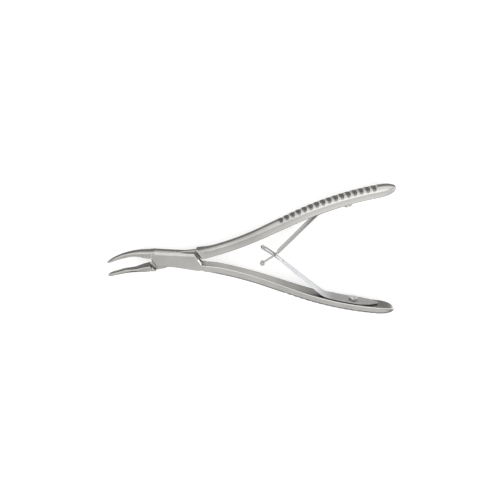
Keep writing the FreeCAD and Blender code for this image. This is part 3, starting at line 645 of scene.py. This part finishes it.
def limb(name, rows, plane=None, chamfer=0.0):
    """A closed skin over rows of (origin, across direction, half section), all in mm. A plane, given
    by a point and a normal, cuts off what lies beyond it, and a chamfer runs round that cut."""
    shape = bmesh.new()
    rings = []
    for (x, y), (across_x, across_y), half in rows:
        loop = half + [(across, -up) for across, up in half[-2:0:-1]]
        rings.append(
            [
                shape.verts.new(
                    (
                        (x + across_x * across) * MM,
                        (y + across_y * across) * MM,
                        (MIDDLE + up) * MM,
                    )
                )
                for across, up in loop
            ]
        )
    for a, b in zip(rings, rings[1:]):
        for i in range(len(a)):
            j = (i + 1) % len(a)
            shape.faces.new((a[i], a[j], b[j], b[i]))
    for ring in (rings[0], rings[-1]):
        shape.faces.new(ring)
    if plane:
        rim = cut_off(shape, *plane)
        if chamfer:
            bmesh.ops.bevel(
                shape, geom=rim, offset=chamfer * MM, segments=1, affect="EDGES", profile=0.5
            )
    bmesh.ops.recalc_face_normals(shape, faces=shape.faces[:])
    mesh = bpy.data.meshes.new(name)
    shape.to_mesh(mesh)
    shape.free()
    obj = bpy.data.objects.new(name, mesh)
    bpy.context.scene.collection.objects.link(obj)
    smooth_by_angle(obj, SKIN_ANGLE)
    return obj


def cut_off(shape, point, normal):
    """Cuts off what lies beyond a plane, closes the cut and returns its rim."""
    cut = bmesh.ops.bisect_plane(
        shape,
        geom=shape.verts[:] + shape.edges[:] + shape.faces[:],
        plane_co=[value * MM for value in point],
        plane_no=normal,
        clear_outer=True,
    )
    rim = [part for part in cut["geom_cut"] if isinstance(part, bmesh.types.BMEdge)]
    bmesh.ops.holes_fill(shape, edges=rim)
    return [edge for edge in rim if edge.is_valid]


# The centre line's root, its slope and radius there, its slope at the end, and the half height.
HANDLES = {
    1: {"root": (12.0, 1.9), "slope": 10.0, "radius": 133.0, "end": 4.8, "half": 2.2},
    -1: {"root": (12.0, 4.6), "slope": 13.0, "radius": 170.0, "end": 6.3, "half": 1.5},
}
HANDLE_STRAIGHT = 15.3
GROOVES = 16
GROOVE_PITCH = 3.1
GROOVE_DEPTH = 1.1
GROOVE_MOUTH = 3.0
GROOVE_FLOOR = 0.6
# The first groove's place, in pitches from the grip's start.
FIRST_GROOVE = -1.5
# Where the root turns into the neck, and the neck into the grip, along X.
TO_NECK = (12.0, 21.0)
TO_GRIP = (25.0, 80.0)
HALF_HEIGHT = 2.2
# The half width at the root and what the grip adds; the crown there and what neck and grip add.
HALF_WIDTH = (2.9, 1.6)
CROWN = (0.12, 1.68, 0.7)
CORNER_HEIGHT = 0.5
CORNER_WIDTH = 0.55
# The end gets thinner and narrower over these lengths, down to these shares at the tip.
THIN_END = 8.5
NARROW_END = 10.0
THIN_TIP = 0.06
NARROW_TIP = 0.08
END_POWER = 2.3
PLAIN_END = 7.0
HANDLE_ROW = 0.22


def on_handle(side, place):
    """(x, y, slope) of a handle's centre line at a distance from its root."""
    facts = HANDLES[side]
    x, y = facts["root"]
    first = facts["slope"]
    radius = facts["radius"]
    bend = math.radians(HANDLE_SPLAY - first) * radius
    if place < 0:
        return x + cosine(first) * place, y + sine(first) * place, first
    slope = first + math.degrees(min(place, bend) / radius)
    x += (sine(slope) - sine(first)) * radius
    y += (cosine(first) - cosine(slope)) * radius
    straight = min(max(place - bend, 0.0), HANDLE_STRAIGHT)
    x += cosine(slope) * straight
    y += sine(slope) * straight
    curved = max(place - bend - HANDLE_STRAIGHT, 0.0)
    end = slope - math.degrees(curved / GRIP_RADIUS)
    if curved > 0:
        x += (sine(slope) - sine(end)) * GRIP_RADIUS
        y += (cosine(end) - cosine(slope)) * GRIP_RADIUS
    return x, y, end


def handle_line(side, start, step):
    """(x, y, slope, distance from the grip's start) along a handle's centre line."""
    facts = HANDLES[side]
    to_grip = math.radians(HANDLE_SPLAY - facts["slope"]) * facts["radius"] + HANDLE_STRAIGHT
    total = to_grip + math.radians(HANDLE_SPLAY - facts["end"]) * GRIP_RADIUS
    count = round((total - start) / step)
    places = [start + (total - start) * i / count for i in range(count + 1)]
    return [(*on_handle(side, place), place - to_grip) for place in places]


def groove_at(place):
    """How deep the cross grooves are at a distance from the grip's start."""
    deepest = 0.0
    for number in range(GROOVES):
        off = abs(place - (number + FIRST_GROOVE) * GROOVE_PITCH)
        flank = (GROOVE_MOUTH / 2 - off) / ((GROOVE_MOUTH - GROOVE_FLOOR) / 2)
        deepest = max(deepest, min(flank, 1.0) * GROOVE_DEPTH)
    return deepest


def add_handle(name, side, start, plane=None):
    """A handle from inside the lock to its pointed oval end, with cross grooves over the grip."""
    line = handle_line(side, start, HANDLE_ROW)
    last = line[-1][3]
    root_half = HANDLES[side]["half"]
    rows = []
    for x, y, slope, place in line:
        to_neck = smooth_share(*TO_NECK, x)
        to_grip = smooth_share(*TO_GRIP, x)
        half = root_half + (HALF_HEIGHT - root_half) * to_neck
        wide = HALF_WIDTH[0] + HALF_WIDTH[1] * to_grip
        crown = CROWN[0] + CROWN[1] * to_neck + CROWN[2] * to_grip
        from_end = last - place
        thin = max(round_end(from_end / THIN_END), THIN_TIP)
        narrow = max(round_end(from_end / NARROW_END), NARROW_TIP)
        section = half_section(
            -half * thin,
            half * thin,
            wide * narrow,
            (wide - CORNER_WIDTH) * narrow,
            CORNER_HEIGHT * thin,
            crown * thin,
            ceiling=half - groove_at(place) if from_end > PLAIN_END else None,
        )
        rows.append(((x, y * side), (-sine(slope), cosine(slope) * side), section))
    return limb(name, rows, plane)


def round_end(share):
    """The height of a rounded end, from 0 at its tip to 1 where the share of its length is 1."""
    return max(1 - max(1 - share, 0.0) ** END_POWER, 0.0) ** 0.5


JAW_ROW = 0.25
CUP_FULLNESS = 1.15
# The most that the flat part and the cup take of the width, and corner and crown of the height.
FLAT_LIMIT = 0.98
CUP_LIMIT = 0.96
CORNER_LIMIT = 0.6
CROWN_LIMIT = 0.9


def jaw_rows(outer, inner, wide, flat, corner, crown, cup, side):
    """Rows of a jaw from stops along -X. The section stands square to X."""
    first = outer[0][0]
    last = outer[-1][0]
    count = round((last - first) / JAW_ROW)
    rows = []
    for i in range(count + 1):
        reach = first + (last - first) * i / count
        high = rounded_stops(outer, reach) * side
        low = rounded_stops(inner, reach) * side
        half = rounded_stops(wide, reach)
        level = min(rounded_stops(flat, reach), half * FLAT_LIMIT)
        size = high - low
        cup_first, cup_last, cup_half, cup_depth = cup
        along = (reach - (cup_first + cup_last) / 2) / ((cup_last - cup_first) / 2)
        bowl = math.sqrt(1 - along * along) if abs(along) < 1 else 0.0
        bowl = min(bowl * CUP_FULLNESS, 1.0)
        section = half_section(
            low,
            high,
            half,
            level,
            min(rounded_stops(corner, reach), size * CORNER_LIMIT),
            min(rounded_stops(crown, reach), size * CROWN_LIMIT),
            cup=(min(cup_half * bowl, level * CUP_LIMIT), cup_depth * bowl),
        )
        rows.append(((-reach, 0.0), (0.0, side), section))
    return rows


def rounded_stops(stops, distance):
    """A value read off a smooth curve through (distance, value) stops."""
    if distance <= stops[0][0]:
        return stops[0][1]
    if distance >= stops[-1][0]:
        return stops[-1][1]
    places = [stop[0] for stop in stops]
    values = [stop[1] for stop in stops]
    slopes = [(b - a) / (d - c) for a, b, c, d in zip(values, values[1:], places, places[1:])]
    tangents = [slopes[0]]
    for before, after in zip(slopes, slopes[1:]):
        if before * after <= 0:
            tangents.append(0.0)
        else:
            tangents.append(2 * before * after / (before + after))
    tangents.append(slopes[-1])
    i = 0
    while distance > places[i + 1]:
        i += 1
    gap = places[i + 1] - places[i]
    t = (distance - places[i]) / gap
    return (
        (2 * t**3 - 3 * t**2 + 1) * values[i]
        + (t**3 - 2 * t**2 + t) * gap * tangents[i]
        + (3 * t**2 - 2 * t**3) * values[i + 1]
        + (t**3 - t**2) * gap * tangents[i + 1]
    )


def add_upper_jaw():
    """The upper jaw, from inside the lock to its tip."""
    return limb(
        "upper_jaw",
        jaw_rows(
            outer=[(8.8, 5.0), (11, 5.2), (15.4, 5.5), (17.8, 5.42), (20.2, 5.12), (22.8, 4.6),
                   (25.2, 3.88), (27.7, 2.85), (29.6, 1.85), (31.0, 0.95), (31.7, 0.45),
                   (31.95, 0.2)],
            inner=[(8.8, 1.9), (11.5, 1.95), (14.0, 2.3), (16.0, 2.85), (18.0, 3.1), (19.6, 3.1),
                   (21.0, 2.95), (23.0, 2.5), (25.3, 1.88), (27.8, 1.15), (29.7, 0.5), (30.9, 0.1),
                   (31.7, 0.0), (31.95, 0.1)],
            wide=[(8.8, 2.86), (13, 2.8), (17, 2.45), (22, 1.9), (26, 1.55), (29, 1.4), (30.6, 1.15),
                  (31.5, 0.65), (31.95, 0.15)],
            flat=[(8.8, 2.6), (13, 2.5), (17, 2.15), (22, 1.65), (26, 1.35), (29, 1.2), (30.6, 0.95),
                  (31.5, 0.5), (31.95, 0.1)],
            corner=[(8.8, 0.3), (20, 0.35), (31.95, 0.2)],
            crown=[(8.8, 0.5), (12, 1.2), (17, 1.7), (24, 1.6), (31.95, 0.3)],
            cup=(22.4, 31.1, 1.15, 0.85),
            side=1,
        ),
    )


JAW_SHOULDER = ((-10.1, -3.4, 0), (0.766, 0.643, 0))
SHOULDER_CHAMFER = 0.4


def add_lower_jaw():
    """The lower jaw, from its slanting shoulder to its tip."""
    return limb(
        "lower_jaw",
        jaw_rows(
            outer=[(7.0, -4.95), (9.2, -5.05), (13.6, -5.55), (17.1, -5.68), (19.5, -5.72),
                   (22.5, -5.95), (25.4, -6.3), (28.3, -6.72), (30.4, -7.05), (31.3, -7.05),
                   (31.75, -6.85), (31.95, -6.55)],
            inner=[(7.0, -1.9), (9.2, -2.0), (11.5, -2.1), (13.5, -2.4), (16.4, -3.05), (18.4, -3.5),
                   (20.8, -3.72), (22.7, -3.85), (24.8, -4.3), (28.3, -5.1), (30.2, -5.65),
                   (31.3, -5.95), (31.75, -6.15), (31.95, -6.4)],
            wide=[(7.0, 2.9), (13, 2.75), (17, 2.3), (20, 2.0), (24, 1.65), (28, 1.5), (30.4, 1.25),
                  (31.3, 0.85), (31.75, 0.5), (31.95, 0.2)],
            flat=[(7.0, 2.4), (13, 1.93), (15.7, 1.66), (18.1, 1.15), (20.5, 0.9), (22.4, 0.95),
                  (24.5, 1.2), (28, 1.25), (30.4, 1.05), (31.3, 0.7), (31.75, 0.4), (31.95, 0.1)],
            corner=[(7.0, 0.5), (14, 0.8), (19, 1.2), (23, 0.9), (26, 0.35), (31.8, 0.2)],
            crown=[(7.0, 0.3), (10, 0.5), (12, 1.0), (17, 1.4), (24, 1.3), (31.8, 0.3)],
            cup=(22.8, 31.1, 1.1, 0.8),
            side=-1,
        ),
        plane=JAW_SHOULDER,
        chamfer=SHOULDER_CHAMFER,
    )


def lock_piece(name, node, planes):
    """The lock's part of a half: a copy of its solid between planes given by a point and a normal."""
    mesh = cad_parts[node].data.copy()
    shape = bmesh.new()
    shape.from_mesh(mesh)
    bmesh.ops.remove_doubles(shape, verts=shape.verts[:], dist=SOLID_MERGE)
    for point, normal in planes:
        cut_off(shape, point, normal)
    fresh = bpy.data.meshes.new(name)
    shape.to_mesh(fresh)
    shape.free()
    bpy.data.meshes.remove(mesh)
    for attribute in list(fresh.attributes):
        if attribute.name == "custom_normal":
            fresh.attributes.remove(attribute)
    fresh.materials.clear()
    obj = bpy.data.objects.new(name, fresh)
    bpy.context.scene.collection.objects.link(obj)
    smooth_by_angle(obj, FLAT_ANGLE)
    return obj


# Planes, each given by a point and the direction of what they cut off.
FEMALE_END = ((15.0, -5.3, 0), (cosine(13), -sine(13), 0))
FEMALE_FRONT = ((-10.6, 0, 0), (-1, 0, 0))
MALE_END = ((12.77, 2.66, 0), (sine(59), cosine(59), 0))
MALE_FRONT = ((-10.3, -3.57, 0), (-0.766, -0.643, 0))
UPPER_HANDLE_ROOT = ((12.5, 2.5, 0), (-sine(59), -cosine(59), 0))
# Where the handles' skins start, along their centre lines.
LOWER_HANDLE_START = 2.0
UPPER_HANDLE_START = -3.0


def add_halves(lock, jaw, handle):
    """Both halves: the lock from the solids, and jaws and handles as smooth skins."""
    cheeks = lock_piece("lock_cheeks", "female_half", [FEMALE_END, FEMALE_FRONT])
    tenon = lock_piece("lock_tenon", "male_half", [MALE_END, MALE_FRONT])
    upper_jaw = add_upper_jaw()
    lower_jaw = add_lower_jaw()
    lower_handle = add_handle("lower_handle", -1, LOWER_HANDLE_START)
    upper_handle = add_handle("upper_handle", 1, UPPER_HANDLE_START, UPPER_HANDLE_ROOT)
    pieces = (
        (lock, "female", "female_half", cheeks),
        (lock, "male", "male_half", tenon),
        (jaw, "female", None, upper_jaw),
        (jaw, "male", None, lower_jaw),
        (handle, "female", None, lower_handle),
        (handle, "male", None, upper_handle),
    )
    for material, body, node, piece in pieces:
        piece.data.materials.append(material)
        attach(piece, body)
        if node:
            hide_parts(node)


# Slope and length of a leaf, then the end's slope, bend radius and length.
TONGUE_LEAF = (43.6, 31.0, 31.0, 9.0, 7.2)
SLOTTED_LEAF = (45.4, 29.0, 36.5, 60.0, 10.7)
BALL_RADII = (1.2, 1.55)
SLOT = (26.0, 37.8, 1.1)
# A strip starts to bend FLEX_BACK before the flexure and ends FLEX_AHEAD after it, along FLEX_SLOPE.
FLEX_SLOPE = 40
FLEX_BACK = 1.0
FLEX_AHEAD = 8.0


def add_springs(upper_steel, lower_highlit_steel):
    """Both leaf springs, each one strip from its foot to its end, bending at the flexure."""
    upper = strip_mesh(
        "upper_spring_strip",
        strip_path(1, *TONGUE_LEAF),
        [(-25.8, 1.2), (-15.0, 5.6), (0.0, 5.6), (28.75, 4.6), (29.0, 1.5), (50.0, 1.5)],
        ball=BALL_RADII,
    )
    lower = strip_mesh(
        "lower_spring_strip",
        strip_path(-1, *SLOTTED_LEAF),
        [(-25.8, 1.6), (-22.0, 5.6), (-17.0, 7.4), (-4.0, 7.0), (5.0, 5.2), (26.0, 4.2), (38.6, 4.2),
         (39.3, 3.2), (39.7, 1.6)],
        slot=SLOT,
    )
    for strip, side, half, leaf, nodes, material in (
        (upper, 1, "male", "upper_leaf", ("upper_spring_foot", "upper_spring_leaf"), upper_steel),
        (lower, -1, "female", "lower_leaf", ("lower_spring_foot", "lower_spring_leaf"), lower_highlit_steel),
    ):
        strip.data.materials.append(material)
        x, y = on_strip(side, ROOT_SLOPE)
        away_x = -cosine(FLEX_SLOPE)
        away_y = -sine(FLEX_SLOPE)
        start, end = (
            ((x + away_x * reach) * MM, (y + away_y * reach) * side * MM, MIDDLE * MM)
            for reach in (-FLEX_BACK, FLEX_AHEAD)
        )
        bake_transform(strip, half, leaf, start=start, end=end)
        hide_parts(*nodes)


LIGHT = (0.43, 0.42, 0.405, 1)
DARK = (0.36, 0.35, 0.338, 1)
# A painted highlight on the upper grip, and painted shade on the inner faces.
GRIP_HIGHLIGHT = (0.54, 0.528, 0.512, 1)
SHADED_FACE = (0.20, 0.195, 0.188, 1)
# Deeper painted shade for inner faces.
SHADOWED_FACE = (0.12, 0.117, 0.112, 1)
UPPER_SPRING = ((0.47, 0.465, 0.455, 1), (0.41, 0.405, 0.395, 1))
# The lower spring is painted lighter than the upper one as a painted highlight; its foot takes painted
# shade, and its end past the crossing goes back to plain steel.
LOWER_SPRING_HIGHLIGHT = ((0.68, 0.69, 0.71, 1), (0.60, 0.61, 0.63, 1))
SHADED_SPRING_FOOT = (0.29, 0.285, 0.28, 1)
SPRING_TIP = (0.40, 0.395, 0.39, 1)
SCREW = ((0.50, 0.485, 0.46, 1), (0.42, 0.407, 0.387, 1))

add_camera()
add_floor()
add_world()
for lamp in LAMPS:
    add_lamp(*lamp)

# The halves' steels get painted highlights and painted shade; each height is where the sides' painted shade
# starts.
lock_satin = steel("lock_satin", LIGHT, DARK, 0.34, painted_shade_under=3.0)
# Jaw steel: weaker painted light and shade on its inner corners, and painted shade on its inner faces.
jaw_satin = steel(
    "jaw_satin",
    LIGHT,
    DARK,
    0.32,
    painted_shade_under=4.2,
    corners=0.2,
    # Painted shade on the jaws' inner faces from x = -22 mm back into the lock, fading out by -29 mm.
    zones=[(-29.0, -22.0, "inner", SHADOWED_FACE)],
)
handle_satin = steel(
    "handle_satin",
    LIGHT,
    DARK,
    0.34,
    painted_shade_under=4.0,
    # Painted highlight on the upper handle from x = 38 mm on, painted shade on the inner faces from 46 mm
    # and deeper from 88 mm.
    zones=[
        (38.0, 66.0, "upper", GRIP_HIGHLIGHT),
        (46.0, 64.0, "inner", SHADED_FACE),
        (88.0, 97.0, "inner", SHADOWED_FACE),
    ],
)
upper_steel = steel("upper_spring_steel", *UPPER_SPRING, 0.3)
# A lighter copy of the spring steel as a painted highlight, with painted shade on the foot.
lower_highlit_steel = steel(
    "lower_spring_highlit_steel",
    *LOWER_SPRING_HIGHLIGHT,
    0.26,
    zones=[(66.0, 74.0, "all", SHADED_SPRING_FOOT), (50.0, 47.5, "all", SPRING_TIP)],
)
screw_steel = steel("screw_steel", *SCREW, 0.24)
add_halves(lock_satin, jaw_satin, handle_satin)
dress("joint_pin", lock_satin)
add_springs(upper_steel, lower_highlit_steel)
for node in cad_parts:
    if "screw" in node:
        dress(node, screw_steel)

bpy.context.scene.view_settings.view_transform = "Standard"
